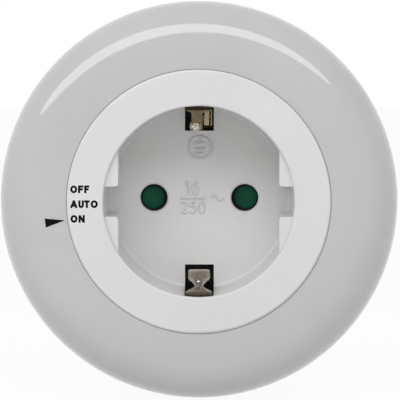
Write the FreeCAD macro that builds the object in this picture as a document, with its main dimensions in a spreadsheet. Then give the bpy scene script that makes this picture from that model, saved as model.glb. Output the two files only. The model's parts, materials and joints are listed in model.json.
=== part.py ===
"""Plug-in night light with a pass-through earthed socket.

The front faces -Y, +Z is up, and the origin is on the plug's axis in the plane where the housing meets the wall.
Sizes are in millimetres. A depth is measured forwards from the wall plane, so a point at depth 10 is at y = -10.
"""

import FreeCAD, Part
import math
import os

import Sketcher

Vector = FreeCAD.Vector
Rotation = FreeCAD.Rotation

SIZES = [
    # socket insert
    ("front_depth", 31.5, "wall plane to the front of the face ring"),
    ("face_radius", 26.95, "face ring, outside"),
    ("face_thick", 1.8, "face ring thickness"),
    ("face_round", 0.5, "round on the face ring's outer edge"),
    ("web_thick", 2.3, "web between the two walls behind the face ring"),
    ("recess_depth", 17.5, "face ring to recess floor"),
    ("recess_mouth", 19.5, "recess radius at the mouth"),
    ("recess_foot", 19.0, "recess radius at the floor"),
    ("lip_round", 0.4, "round on the recess mouth"),
    ("foot_round", 0.6, "round between recess wall and floor"),
    ("floor_thick", 2.5, "recess floor"),
    ("tube_outside", 21.2, "recess wall, outside radius"),
    ("tube_behind", 19.3, "inside radius behind the floor"),
    ("journal_radius", 25.1, "the skirt that the diffuser turns on"),
    ("journal_wall", 1.5, "skirt wall"),
    ("insert_foot", 2.1, "depth where the insert ends, just off the back wall"),
    ("flat_spread", 32.9, "across the two guide flats"),
    ("keyway_width", 6.2, "gap between an upper and a lower guide block"),
    ("block_root", 0.7, "how far a guide block reaches into the recess wall"),
    ("block_drop", 1.0, "guide blocks stop this far below the face ring"),
    ("block_round", 0.6, "round on a guide block's inner corner"),
    ("pin_spread", 19.0, "between the two pins"),
    ("hole_radius", 2.85, "pin holes in the recess floor"),
    ("hole_flare", 0.3, "flare round a pin hole"),
    ("window_width", 6.05, "earth window and wall slot"),
    ("window_inner", 14.0, "inner edge of the earth window, from the axis"),
    ("window_front", 1.3, "face ring left in front of the wall slot"),
    ("boss_circle", 22.35, "screw bosses, from the axis"),
    ("boss_radius", 2.0, "screw boss"),
    ("boss_front", 14.0, "depth of a boss's front end"),
    ("screw_pilot", 0.95, "pilot hole in a boss"),
    ("pilot_bottom", 1.5, "boss left in front of the pilot hole"),
    # diffuser
    ("diffuser_radius", 41.0, "diffuser, outside"),
    ("diffuser_wall", 1.7, "diffuser wall"),
    ("shoulder_round", 8.4, "outside radius of the shoulder"),
    ("shoulder_depth", 22.3, "depth of the widest place"),
    ("shoulder_turn", 8.0, "degrees from the axis where shoulder meets dome"),
    ("dome_round", 45.0, "outside radius of the slightly domed front"),
    ("seam_gap", 0.2, "gap between face ring and diffuser"),
    ("rim_round", 0.5, "round on the diffuser's inner rim"),
    ("skirt_draft", 0.3, "how much narrower the skirt is at its back edge"),
    ("skirt_foot", 8.6, "depth of the diffuser's back edge"),
    ("flange_front", 29.2, "depth of the bearing flange's front face"),
    ("flange_thick", 1.8, "bearing flange"),
    ("flange_outer", 29.1, "where the flange meets the dome"),
    ("running_gap", 0.3, "radial clearance of the turning diffuser"),
    ("slide_gap", 0.35, "axial clearance of the turning diffuser"),
    # rear housing
    ("housing_radius", 40.6, "rear housing, outside"),
    ("housing_round", 5.6, "round on its back edge"),
    ("wall", 2.0, "back wall"),
    ("overcut", 1.0, "how far a cut runs past what it cuts"),
    ("pilot_floor", 1.0, "post left behind its pilot hole, in front of the back wall"),
    ("rim_depth", 8.2, "depth of the housing's rim"),
    ("spigot_radius", 38.7, "spigot inside the diffuser's skirt"),
    ("spigot_wall", 1.4, "spigot wall"),
    ("spigot_front", 12.0, "depth of the spigot's end, level with the board's back"),
    ("collar_wall", 1.8, "collar round the insert's skirt"),
    ("plug_radius", 18.5, "plug body"),
    ("plug_length", 17.2, "plug body"),
    ("plug_chamfer", 0.8, "chamfer on the plug body's end"),
    ("plug_cavity", 14.6, "inside radius of the plug body"),
    ("plug_end", 4.0, "plug body's end wall"),
    ("plug_flat", 16.3, "plug flat, from the axis"),
    ("plug_key", 5.2, "key left standing on a plug flat"),
    ("pin_boss", 4.4, "boss round a pin's root"),
    ("pin_boss_length", 3.0, "how far that boss stands in from the end wall"),
    ("groove_width", 5.8, "groove for a rear earth contact"),
    ("groove_floor", 17.0, "groove floor, from the axis"),
    ("screw_hole", 1.2, "clearance hole"),
    ("counterbore", 2.2, "screw head counterbore"),
    ("counterbore_depth", 1.1, "its depth"),
    ("post_circle", 34.5, "board posts, from the axis"),
    ("post_radius", 2.2, "board post"),
    ("post_pilot", 0.8, "pilot hole in a post"),
    ("notch_width", 3.0, "notch that lets a wire out"),
    ("notch_front", 5.4, "depth where the notch ends"),
    # pins and contacts
    ("pin_radius", 2.4, "plug pin"),
    ("pin_root", 2.7, "thicker root inside the plug's end wall"),
    ("pin_length", 19.0, "pin standing out of the plug body"),
    ("pin_tip", 1.6, "round on the pin's tip"),
    ("pin_head", 3.5, "head on the pin's root"),
    ("pin_head_thick", 1.9, "head thickness"),
    ("strip_thick", 0.8, "sheet of every bent contact"),
    ("strip_width", 7.6, "contact strip"),
    ("tab_width", 3.6, "soldering tab"),
    ("tab_reach", 8.0, "tab end, above the pin's axis"),
    ("sleeve_bore", 2.35, "pin sleeve, inside radius"),
    ("sleeve_wall", 0.6, "pin sleeve wall"),
    ("sleeve_slit", 1.2, "slit along the sleeve"),
    ("sleeve_neck", 1.5, "unslit back end of the sleeve"),
    ("earth_level", 17.05, "inner face of the earth strip, from the axis"),
    ("earth_bow", 0.45, "how far the rear earth contact bows out"),
    ("earth_width", 5.2, "earth strip and clip"),
    ("earth_waist", 2.4, "clip's narrow middle"),
    ("clip_tab", 9.6, "depth of the clip's rear tab"),
    ("clip_tab_width", 4.4, "clip's rear tab"),
    ("clip_arm", 0.6, "where the clip's arm starts, in front of the recess floor"),
    ("clip_mouth_run", 5.6, "from the clip's front end back to its nose"),
    ("nose_back", 1.2, "flat of the nose, behind its middle"),
    ("nose_front", 0.8, "bend of the nose, in front of its middle"),
    ("nose_rise", 0.15, "how far that bend lifts the strip"),
    ("nose_round", 2.2, "round on the nose's front bend"),
    ("waist_lead", 0.5, "behind the arm's start, where the clip starts to narrow"),
    ("waist_back", 3.4, "behind the nose, where it is narrowest"),
    ("waist_front", 2.2, "in front of the nose, where it widens again"),
    ("waist_mouth", 1.4, "behind the front end, where it is wide again"),
    ("tab_neck", 1.4, "in front of the rear tab, where the tab narrows"),
    ("tab_play", 0.35, "from the window's inner edge to the tab's end"),
    ("tab_rise", 1.55, "from the tab's bend to the earth strip's level"),
    ("strip_play", 0.05, "gap between clip and earth strip"),
    ("clip_notch_aside", 0.35, "how far the notch is off the middle"),
    ("clip_nose", 15.4, "inner face of the clip's nose, from the axis"),
    ("clip_mouth", 18.6, "inner face of the clip's front end, from the axis"),
    ("clip_front", 29.3, "depth of the clip's front end"),
    ("clip_notch", 0.8, "notch in the clip's rear tab"),
    # contact carrier and shutter
    ("carrier_radius", 18.9, "contact carrier"),
    ("carrier_back", 4.9, "depth of the plate's back face"),
    ("carrier_thick", 2.4, "plate"),
    ("carrier_rim", 1.5, "rim wall"),
    ("tower_radius", 4.3, "tower round a sleeve"),
    ("tower_bore", 3.15, "tower, inside radius"),
    ("tower_back", 7.4, "how far a tower reaches behind the wall plane"),
    ("pivot_radius", 1.42, "pin that the shutter turns on"),
    ("pivot_bore", 1.5, "its hole in the shutter"),
    ("shutter_thick", 2.2, "shutter"),
    ("shutter_gap", 0.3, "play in front of the shutter"),
    ("shutter_lobe", 3.4, "lobe that closes a hole"),
    ("shutter_arm", 5.2, "width of the arm between the lobes"),
    ("shutter_hub", 2.5, "hub"),
    ("shutter_travel", 38.0, "degrees that the shutter turns"),
    ("ramp_drop", 1.3, "depth of the ramp that a pin pushes on"),
    ("ramp_start", 2.6, "where the ramp starts, beside the arm's middle line"),
    ("stop_circle", 7.05, "stop pegs, from the axis"),
    ("stop_radius", 0.9, "stop peg"),
    ("spring_radius", 3.3, "shutter spring's coil, to the wire's middle"),
    ("spring_wire", 0.25, "radius of its wire"),
    ("spring_pitch", 0.6, "its pitch"),
    ("spring_height", 1.05, "height of its coil"),
    # circuit board and what is on it
    ("board_inner", 27.8, "circuit board, inside radius"),
    ("board_outer", 37.2, "circuit board, outside radius"),
    ("board_thick", 1.6, "circuit board"),
    ("parts_circle", 33.0, "components, from the axis"),
    ("led_length", 3.5, "LED package"),
    ("led_width", 2.8, "LED package"),
    ("led_height", 1.4, "LED package"),
    ("lens_radius", 1.15, "LED lens"),
    ("lens_height", 0.4, "LED lens"),
    ("sensor_radius", 2.55, "light sensor"),
    ("sensor_thick", 2.0, "light sensor"),
    ("sensor_depth", 22.0, "depth of its back face"),
    ("lead_radius", 0.3, "component leads"),
    ("film_length", 13.0, "film capacitor, along the ring"),
    ("film_width", 5.2, "film capacitor, across the ring"),
    ("film_height", 8.8, "film capacitor, behind the board"),
    ("can_radius", 3.15, "electrolytic capacitor"),
    ("can_length", 11.0, "electrolytic capacitor"),
    ("can_groove", 0.3, "groove rolled into the can"),
    ("bridge_length", 6.4, "bridge rectifier, along the ring"),
    ("bridge_width", 4.8, "bridge rectifier, across the ring"),
    ("bridge_height", 2.5, "bridge rectifier"),
    ("fusible_radius", 1.6, "fusible resistor"),
    ("fusible_length", 7.0, "fusible resistor"),
    ("bleed_radius", 1.2, "bleed resistor"),
    ("bleed_length", 6.0, "bleed resistor"),
    ("transistor_radius", 2.3, "transistor"),
    ("transistor_height", 4.5, "transistor"),
    ("switch_circle", 30.0, "switch slider, from the axis"),
    ("switch_length", 14.0, "switch body"),
    ("switch_width", 3.8, "switch body"),
    ("switch_height", 4.4, "switch body"),
    ("slot_depth", 1.4, "slot that the slider runs in"),
    ("knob_length", 2.0, "slider knob, along its travel"),
    ("knob_width", 1.4, "slider knob"),
    ("knob_height", 3.2, "slider knob above the switch body"),
    ("knob_play", 0.3, "play between knob and fork"),
    ("position_step", 7.05, "degrees between OFF, AUTO and ON"),
    ("prong_width", 1.2, "fork prong, along the travel"),
    ("prong_depth", 2.6, "fork prong, from the axis outwards"),
    ("prong_back", 18.7, "depth where the fork prongs end"),
    # screws and wires
    ("screw_shank", 0.9, "housing screw"),
    ("screw_head", 2.0, "housing screw head"),
    ("screw_head_thick", 0.9, "its thickness"),
    ("screw_reach", 11.6, "depth of its point"),
    ("small_shank", 0.75, "board screw"),
    ("small_head", 1.6, "board screw head"),
    ("small_head_thick", 1.1, "its thickness"),
    ("small_reach", 6.0, "depth of its point"),
    ("drive_width", 0.45, "one bar of the cross in a screw head"),
    ("drive_share", 1.3, "length of that bar, as a share of the head's radius"),
    ("drive_depth", 0.5, "depth of the cross"),
    ("wire_radius", 0.7, "insulated wire"),
    ("wire_depth", 3.6, "depth of the wire behind the carrier"),
    ("wire_start", 11.51, "wire's joint on the tab, from the axis"),
    ("wire_end", 30.5, "where it meets the board, from the axis"),
    ("wire_bend", 2.2, "radius of its bends"),
]

# angles are measured from +X towards +Z, in degrees
WIRE_ANGLE = 34.38
BOSS_ANGLE = 45.0
POST_ANGLE = 45.0
LED_ANGLES = (0.0, 60.0, 120.0, 180.0, 240.0, 300.0)

doc = FreeCAD.newDocument("night_light")
sheet = doc.addObject("Spreadsheet::Sheet", "Sizes")
pieces = []


class Size:
    """A number with the sheet formula that gives it."""

    def __init__(self, value, text):
        self.value = float(value)
        self.text = text

    def __add__(self, other):
        other = as_size(other)
        return Size(self.value + other.value, f"({self.text} + {other.text})")

    def __sub__(self, other):
        other = as_size(other)
        return Size(self.value - other.value, f"({self.text} - {other.text})")

    def __rsub__(self, other):
        return as_size(other) - self

    def __mul__(self, other):
        other = as_size(other)
        return Size(self.value * other.value, f"({self.text} * {other.text})")

    def __truediv__(self, other):
        other = as_size(other)
        return Size(self.value / other.value, f"({self.text} / {other.text})")

    def __neg__(self):
        return Size(-self.value, f"(0 - {self.text})")


def as_size(number):
    if isinstance(number, Size):
        return number
    return Size(number, f"({float(number):.9g})")


def sine(degrees):
    return Size(math.sin(math.radians(degrees.value)), f"sin({degrees.text} * 1 deg)")


def cosine(degrees):
    return Size(math.cos(math.radians(degrees.value)), f"cos({degrees.text} * 1 deg)")


def root(number):
    return Size(math.sqrt(number.value), f"sqrt({number.text})")


def fill_sheet():
    """Writes the driving dimensions and returns them by name."""
    found = {}
    for row, (name, value, note) in enumerate(SIZES, start=1):
        sheet.set(f"A{row}", name)
        sheet.set(f"B{row}", str(value))
        sheet.set(f"C{row}", note)
        sheet.setAlias(f"B{row}", name)
        found[name] = Size(value, f"Sizes.{name}")
    doc.recompute()
    return found


d = fill_sheet()

HALF_PINS = d["pin_spread"] / 2
FLOOR_FRONT = d["front_depth"] - d["recess_depth"]
FLOOR_BACK = FLOOR_FRONT - d["floor_thick"]
COLLAR_BORE = d["journal_radius"] + d["running_gap"]
FLANGE_BACK = d["flange_front"] - d["flange_thick"]
COLLAR_FRONT = FLANGE_BACK - d["slide_gap"]
PLATE_FRONT = d["carrier_back"] + d["carrier_thick"]
BOARD_BACK = d["spigot_front"]
BOARD_FRONT = BOARD_BACK + d["board_thick"]
SLEEVE_BACK = d["tower_back"] + 0.1


def new_body(label):
    body = doc.addObject("PartDesign::Body", label)
    body.Label = label
    pieces.append(body)
    return body


def origin_of(body, role):
    return next(f for f in body.Origin.OriginFeatures if f.Role == role)


def new_sketch(body, plane, offset=0.0, turn=None):
    """A sketch on a body's own plane, offset along the plane's normal, with a rotation within that frame."""
    sketch = body.newObject("Sketcher::SketchObject", "Sketch")
    sketch.AttachmentSupport = (origin_of(body, plane), [""])
    sketch.MapMode = "FlatFace"
    offset = as_size(offset)
    sketch.AttachmentOffset = FreeCAD.Placement(Vector(0, 0, offset.value), turn or Rotation())
    sketch.setExpression("AttachmentOffset.Base.z", offset.text)
    return sketch


def at_depth(body, depth, turn=0.0):
    """A sketch facing the front at that depth. Its x and y are the object's X and Z, turned towards +Z."""
    return new_sketch(body, "XZ_Plane", depth, Rotation(Vector(0, 0, 1), turn))


def lengthwise(body, turn=0.0):
    """A sketch whose x is the distance from the axis and whose y is the object's Y, turned towards +Z."""
    return new_sketch(body, "XY_Plane", 0.0, Rotation(Vector(0, 1, 0), -turn))


def bind(sketch, number, size):
    sketch.setExpression(f"Constraints[{number}]", size.text)


def fix_point(sketch, geometry, end, x, y):
    """Holds a point of the sketch at x, y from its origin."""
    for kind, axis, size in (("DistanceX", -2, x), ("DistanceY", -1, y)):
        if abs(size.value) < 1e-9:
            sketch.addConstraint(Sketcher.Constraint("PointOnObject", geometry, end, axis))
        elif size.value > 0:
            made = Sketcher.Constraint(kind, -1, 1, geometry, end, size.value)
            bind(sketch, sketch.addConstraint(made), size)
        else:
            made = Sketcher.Constraint(kind, geometry, end, -1, 1, -size.value)
            bind(sketch, sketch.addConstraint(made), -size)


def add_circle(sketch, x, y, radius):
    x, y = as_size(x), as_size(y)
    circle = Part.Circle(Vector(x.value, y.value, 0), Vector(0, 0, 1), radius.value)
    made = sketch.addGeometry(circle)
    fix_point(sketch, made, 3, x, y)
    bind(sketch, sketch.addConstraint(Sketcher.Constraint("Radius", made, radius.value)), radius)


def short_arc(start, end, radius, left):
    """The short arc from start to end whose centre lies to the left, or else the right, of the way there."""
    chord = end - start
    rise = math.sqrt(max(radius**2 - (chord.Length / 2) ** 2, 0.0))
    side = Vector(-chord.y, chord.x, 0).normalize()
    centre = (start + end) * 0.5 + side * (rise if left else -rise)
    first, last = (start, end) if left else (end, start)
    angles = [math.atan2(p.y - centre.y, p.x - centre.x) for p in (first, last)]
    return Part.ArcOfCircle(Part.Circle(centre, Vector(0, 0, 1), radius), *angles)


def add_path(sketch, points, closed=True):
    """Lines and arcs through points. A point is (x, y), or (x, y, radius, side) where an arc leads to it, with its
    centre to the left or right of the way there."""
    corners = [(as_size(p[0]), as_size(p[1])) for p in points]
    spots = [Vector(x.value, y.value, 0) for x, y in corners]
    runs = []
    for number in range(len(points) if closed else len(points) - 1):
        following = (number + 1) % len(points)
        target = points[following]
        if len(target) == 4:
            left = target[3] == "left"
            radius = as_size(target[2])
            made = sketch.addGeometry(short_arc(spots[number], spots[following], radius.value, left))
            rule = Sketcher.Constraint("Radius", made, radius.value)
            bind(sketch, sketch.addConstraint(rule), radius)
            start, end = (1, 2) if left else (2, 1)
        else:
            made = sketch.addGeometry(Part.LineSegment(spots[number], spots[following]))
            start, end = 1, 2
        fix_point(sketch, made, start, *corners[number])
        runs.append((made, start, end))
    followers = runs[1:] + runs[:1] if closed else runs[1:]
    for before, after in zip(runs, followers):
        sketch.addConstraint(Sketcher.Constraint("Coincident", before[0], before[2], after[0], after[1]))
    if not closed:
        fix_point(sketch, runs[-1][0], runs[-1][2], *corners[-1])


def add_box(sketch, left, right, low, high):
    add_path(sketch, [(left, low), (right, low), (right, high), (left, high)])


def feature(body, kind, sketch, name):
    made = body.newObject(f"PartDesign::{kind}", name)
    made.Profile = sketch
    return made


def pad(body, sketch, length, forwards=True, name="Pad"):
    """Adds a prism from the sketch towards the front, or else the back."""
    made = feature(body, "Pad", sketch, name)
    made.setExpression("Length", length.text)
    made.Reversed = not forwards
    return made


def pocket(body, sketch, length, forwards=True, name="Pocket"):
    """Cuts a prism from the sketch towards the front, or else the back."""
    made = feature(body, "Pocket", sketch, name)
    made.setExpression("Length", length.text)
    made.Reversed = forwards
    return made


def turned(body, points, name="Shell"):
    """A solid of revolution about the body's Y axis."""
    sketch = lengthwise(body)
    add_path(sketch, points)
    made = feature(body, "Revolution", sketch, name)
    made.ReferenceAxis = (sketch, ["V_Axis"])
    return made


def ring_of(body, originals, count, name="Ring"):
    """Repeats features round the object's axis."""
    made = body.newObject("PartDesign::PolarPattern", name)
    made.Originals = originals
    made.Axis = (origin_of(body, "Y_Axis"), [""])
    made.Angle = 360
    made.Occurrences = count
    body.Tip = made
    return made


def on_circle(radius, degrees):
    """x and z of a point at that angle from +X towards +Z."""
    turn = as_size(degrees)
    return radius * cosine(turn), radius * sine(turn)


def turn_round(degrees):
    """The rotation about the object's axis from +X towards +Z."""
    return Rotation(Vector(0, 1, 0), -degrees)


def lay_behind_board(body, height, degrees):
    """Lays a piece made along its own Y axis along the ring, with its middle that far behind the board."""
    spot = Vector(d["parts_circle"].value, height.value - BOARD_BACK.value, 0)
    lying = FreeCAD.Placement(spot, Rotation(Vector(1, 0, 0), 90))
    body.Placement = FreeCAD.Placement(Vector(), turn_round(degrees)).multiply(lying)


def socket_cup():
    """The white insert: face ring, recess with its guide blocks, floor, and the skirt that the diffuser turns on."""
    body = new_body("socket_cup")
    face_back = d["front_depth"] - d["face_thick"]
    web_back = d["front_depth"] - d["web_thick"]
    skirt_bore = d["journal_radius"] - d["journal_wall"]
    turned(body, [
        (0, -FLOOR_FRONT),
        (d["recess_foot"] - d["foot_round"], -FLOOR_FRONT),
        (d["recess_foot"], -FLOOR_FRONT - d["foot_round"], d["foot_round"], "right"),
        (d["recess_mouth"], d["lip_round"] - d["front_depth"]),
        (d["recess_mouth"] + d["lip_round"], -d["front_depth"], d["lip_round"], "left"),
        (d["face_radius"] - d["face_round"], -d["front_depth"]),
        (d["face_radius"], d["face_round"] - d["front_depth"], d["face_round"], "left"),
        (d["face_radius"], -face_back),
        (d["journal_radius"], -face_back),
        (d["journal_radius"], -d["insert_foot"]),
        (skirt_bore, -d["insert_foot"]),
        (skirt_bore, -web_back),
        (d["tube_outside"], -web_back),
        (d["tube_outside"], -d["insert_foot"]),
        (d["tube_behind"], -d["insert_foot"]),
        (d["tube_behind"], -FLOOR_BACK),
        (0, -FLOOR_BACK),
    ])

    blocks = at_depth(body, FLOOR_FRONT)
    flat, half_key = d["flat_spread"] / 2, d["keyway_width"] / 2
    into_wall, corner = d["recess_mouth"] + d["block_root"], d["block_round"]
    tall = root(into_wall * into_wall - flat * flat)
    wide = root(into_wall * into_wall - half_key * half_key)
    for x_side in (1, -1):
        for z_side in (1, -1):
            bend = "right" if x_side * z_side > 0 else "left"
            add_path(blocks, [
                (flat * x_side, tall * z_side),
                (wide * x_side, half_key * z_side, into_wall, bend),
                ((flat + corner) * x_side, half_key * z_side),
                (flat * x_side, (half_key + corner) * z_side, corner, bend),
            ])
    pad(body, blocks, d["recess_depth"] - d["block_drop"], name="GuideBlocks")

    boss = on_circle(d["boss_circle"], BOSS_ANGLE)
    boss_length = d["boss_front"] - d["insert_foot"]
    bosses = at_depth(body, d["insert_foot"])
    add_circle(bosses, *boss, d["boss_radius"])
    ring_of(body, [pad(body, bosses, boss_length, name="Boss")], 4, "Bosses")
    pilots = at_depth(body, d["insert_foot"])
    add_circle(pilots, *boss, d["screw_pilot"])
    ring_of(body, [pocket(body, pilots, boss_length - d["pilot_bottom"], name="Pilot")], 4, "Pilots")

    holes = at_depth(body, FLOOR_FRONT)
    flares = at_depth(body, FLOOR_FRONT)
    for side in (1, -1):
        add_circle(holes, HALF_PINS * side, 0, d["hole_radius"])
        add_circle(flares, HALF_PINS * side, 0, d["hole_radius"] + d["hole_flare"])
    pocket(body, holes, d["floor_thick"], False, "PinHoles")
    flare = pocket(body, flares, d["hole_flare"], False, "HoleFlares")
    flare.TaperAngle = -45

    windows_front = d["front_depth"] - d["window_front"]
    windows = at_depth(body, windows_front)
    half = d["window_width"] / 2
    for side in (1, -1):
        add_box(windows, -half, half, d["window_inner"] * side, (d["tube_outside"] + 1.0) * side)
    pocket(body, windows, windows_front - FLOOR_BACK, False, "EarthWindows")

    half = d["notch_width"] / 2
    for angle in (WIRE_ANGLE, 180 - WIRE_ANGLE):
        notch = at_depth(body, d["insert_foot"], angle)
        add_box(notch, d["tube_behind"] - 0.8, d["journal_radius"] + 1.0, -half, half)
        pocket(body, notch, d["notch_front"] - d["insert_foot"], name="WireNotch")


def diffuser():
    """The opal ring that is also the control: domed front, round shoulder, skirt, bearing flange and the fork."""
    body = new_body("diffuser")
    turn, wall = d["shoulder_turn"], d["diffuser_wall"]
    level = d["shoulder_depth"]
    centre = d["diffuser_radius"] - d["shoulder_round"]
    between = d["dome_round"] - d["shoulder_round"]
    dome_x = centre - between * sine(turn)
    dome_level = level - between * cosine(turn)

    def shoulder(radius):
        """Where the shoulder of that radius meets the dome."""
        return centre + radius * sine(turn), -level - radius * cosine(turn)

    def dome(x, radius):
        """y of the dome of that radius at a distance x from the axis."""
        across = x - dome_x
        return -dome_level - root(radius * radius - across * across)

    inner_wall = d["face_radius"] + d["seam_gap"]
    rim = inner_wall + d["rim_round"]
    rim_front = dome(rim, d["dome_round"])
    inner_round, inner_dome = d["shoulder_round"] - wall, d["dome_round"] - wall
    narrow = d["diffuser_radius"] - d["skirt_draft"]
    turned(body, [
        (inner_wall, rim_front + d["rim_round"], d["rim_round"], "right"),
        (inner_wall, -d["flange_front"]),
        (COLLAR_BORE, -d["flange_front"]),
        (COLLAR_BORE, -FLANGE_BACK),
        (d["flange_outer"], -FLANGE_BACK),
        (d["flange_outer"], dome(d["flange_outer"], inner_dome)),
        (*shoulder(inner_round), inner_dome, "left"),
        (centre + inner_round, -level, inner_round, "left"),
        (narrow - wall, -d["skirt_foot"]),
        (narrow, -d["skirt_foot"]),
        (d["diffuser_radius"], -level),
        (*shoulder(d["shoulder_round"]), d["shoulder_round"], "right"),
        (rim, rim_front, d["dome_round"], "right"),
    ])

    # the fork hangs at six o'clock when the light is set to AUTO, and one step towards +X of that at ON
    fork = at_depth(body, d["prong_back"], d["position_step"].value)
    near = d["knob_length"] / 2 + d["knob_play"]
    middle, half = -d["switch_circle"], d["prong_depth"] / 2
    for side in (1, -1):
        add_box(fork, near * side, (near + d["prong_width"]) * side, middle - half, middle + half)
    pad(body, fork, d["flange_front"] - d["prong_back"] + 0.8, name="Fork")


def rear_housing():
    """The white dish against the wall, with the spigot that the diffuser's skirt covers and the posts for the board."""
    body = new_body("rear_housing")
    arc_x = d["housing_radius"] - d["housing_round"]
    inner_round = d["housing_round"] - d["wall"]
    spigot_bore = d["spigot_radius"] - d["spigot_wall"]
    across = spigot_bore - arc_x
    inner_y = root(inner_round * inner_round - across * across) - d["housing_round"]
    turned(body, [
        (d["plug_radius"], 0),
        (d["plug_radius"], -d["wall"]),
        (arc_x, -d["wall"]),
        (spigot_bore, inner_y, inner_round, "right"),
        (spigot_bore, -d["spigot_front"]),
        (d["spigot_radius"], -d["spigot_front"]),
        (d["spigot_radius"], -d["rim_depth"]),
        (d["housing_radius"], -d["rim_depth"]),
        (d["housing_radius"], -d["housing_round"]),
        (arc_x, 0, d["housing_round"], "left"),
    ])

    screw = on_circle(d["boss_circle"], BOSS_ANGLE)
    holes = at_depth(body, as_size(0))
    add_circle(holes, *screw, d["screw_hole"])
    ring_of(body, [pocket(body, holes, d["wall"] + d["overcut"], name="ScrewHole")], 4, "ScrewHoles")
    seats = at_depth(body, as_size(0))
    add_circle(seats, *screw, d["counterbore"])
    ring_of(body, [pocket(body, seats, d["counterbore_depth"], name="ScrewSeat")], 4, "ScrewSeats")

    post = on_circle(d["post_circle"], POST_ANGLE)
    posts = at_depth(body, d["wall"] / 2)
    add_circle(posts, *post, d["post_radius"])
    ring_of(body, [pad(body, posts, BOARD_BACK - d["wall"] / 2, name="Post")], 3, "Posts")
    pilots = at_depth(body, BOARD_BACK)
    add_circle(pilots, *post, d["post_pilot"])
    drilled = pocket(body, pilots, BOARD_BACK - d["wall"] - d["pilot_floor"], False, "PostPilot")
    ring_of(body, [drilled], 3, "PostPilots")


def housing_collar():
    """The tube that stands on the dish's floor round the insert, notched where the wires come out."""
    body = new_body("housing_collar")
    turned(body, [
        (COLLAR_BORE, -d["wall"]),
        (COLLAR_BORE, -COLLAR_FRONT),
        (COLLAR_BORE + d["collar_wall"], -COLLAR_FRONT),
        (COLLAR_BORE + d["collar_wall"], -d["wall"]),
    ])
    half = d["notch_width"] / 2
    for angle in (WIRE_ANGLE, 180 - WIRE_ANGLE):
        notch = at_depth(body, d["wall"], angle)
        add_box(notch, COLLAR_BORE - d["overcut"], COLLAR_BORE + d["collar_wall"] + d["overcut"], -half, half)
        pocket(body, notch, d["notch_front"] - d["wall"], name="WireNotch")


def plug_body():
    """The hollow round plug behind the dish, with two keyed flats, grooves for the earth strips and bosses for the pins."""
    body = new_body("plug_body")
    cavity_end = d["plug_length"] - d["plug_end"]
    turned(body, [
        (0, d["plug_length"]),
        (0, cavity_end),
        (d["plug_cavity"], cavity_end),
        (d["plug_cavity"], -d["wall"]),
        (d["plug_radius"], -d["wall"]),
        (d["plug_radius"], d["plug_length"] - d["plug_chamfer"]),
        (d["plug_radius"] - d["plug_chamfer"], d["plug_length"]),
    ])

    flats = at_depth(body, as_size(0))
    half_key, beyond = d["plug_key"] / 2, d["plug_radius"] + d["overcut"]
    for x_side in (1, -1):
        for z_side in (1, -1):
            add_box(flats, d["plug_flat"] * x_side, beyond * x_side, half_key * z_side, beyond * z_side)
    pocket(body, flats, d["plug_length"] + d["overcut"], False, "Flats")

    grooves = at_depth(body, d["wall"])
    half = d["groove_width"] / 2
    for side in (1, -1):
        add_box(grooves, -half, half, d["groove_floor"] * side, beyond * side)
    pocket(body, grooves, d["wall"] + d["plug_length"] + d["overcut"], False, "EarthGrooves")

    bosses = at_depth(body, -cavity_end)
    bores = at_depth(body, d["pin_boss_length"] - cavity_end)
    for side in (1, -1):
        add_circle(bosses, HALF_PINS * side, 0, d["pin_boss"])
        add_circle(bores, HALF_PINS * side, 0, d["pin_root"])
    pad(body, bosses, d["pin_boss_length"], name="PinBosses")
    pocket(body, bores, d["pin_boss_length"] + d["plug_end"] + d["overcut"], False, "PinBores")


def plug_pin(label, side):
    """A round pin with its head inside the plug body."""
    body = new_body(label)
    head_front = d["plug_length"] - d["plug_end"] - d["pin_boss_length"]
    tip = d["plug_length"] + d["pin_length"]
    turned(body, [
        (0, head_front - d["pin_head_thick"]),
        (d["pin_head"], head_front - d["pin_head_thick"]),
        (d["pin_head"], head_front),
        (d["pin_root"], head_front),
        (d["pin_root"], d["plug_length"]),
        (d["pin_radius"], d["plug_length"]),
        (d["pin_radius"], tip - d["pin_tip"]),
        (d["pin_radius"] - d["pin_tip"], tip, d["pin_tip"], "left"),
        (0, tip),
    ], "Pin")
    body.setExpression("Placement.Base.x", (HALF_PINS * side).text)


def bent_strip(label, path, cuts, turn):
    """A strip bent from sheet, turned about the axis. The path is the face nearer the axis, as (Y, Z) from the back
    to the front, and each cut is an outline in X and Y that is taken out of it."""
    line = doc.addObject("Sketcher::SketchObject", label + "_path")
    line.Placement = FreeCAD.Placement(Vector(), Rotation(Vector(1, 1, 1), 120))
    add_path(line, path, closed=False)
    section = doc.addObject("Part::Offset2D", label + "_section")
    section.Source = line
    section.setExpression("Value", d["strip_thick"].text)
    section.Mode = "Skin"
    section.Join = "Arc"
    section.Fill = True
    made = doc.addObject("Part::Extrusion", label + "_sheet")
    made.Base = section
    made.DirMode = "Custom"
    made.Dir = Vector(1, 0, 0)
    made.setExpression("LengthFwd", d["earth_width"].text)
    made.Symmetric = True
    for number, outline in enumerate(cuts):
        shape = doc.addObject("Sketcher::SketchObject", f"{label}_outline_{number}")
        add_path(shape, outline)
        tool = doc.addObject("Part::Extrusion", f"{label}_tool_{number}")
        tool.Base = shape
        tool.DirMode = "Custom"
        tool.Dir = Vector(0, 0, 1)
        tool.setExpression("LengthFwd", (d["plug_radius"] * 2).text)
        tool.Solid = True
        cut = doc.addObject("Part::Cut", f"{label}_cut_{number}")
        cut.Base = made
        cut.Tool = tool
        made = cut
    made.Placement = FreeCAD.Placement(Vector(), turn_round(turn))
    made.Label = label
    pieces.append(made)


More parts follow.
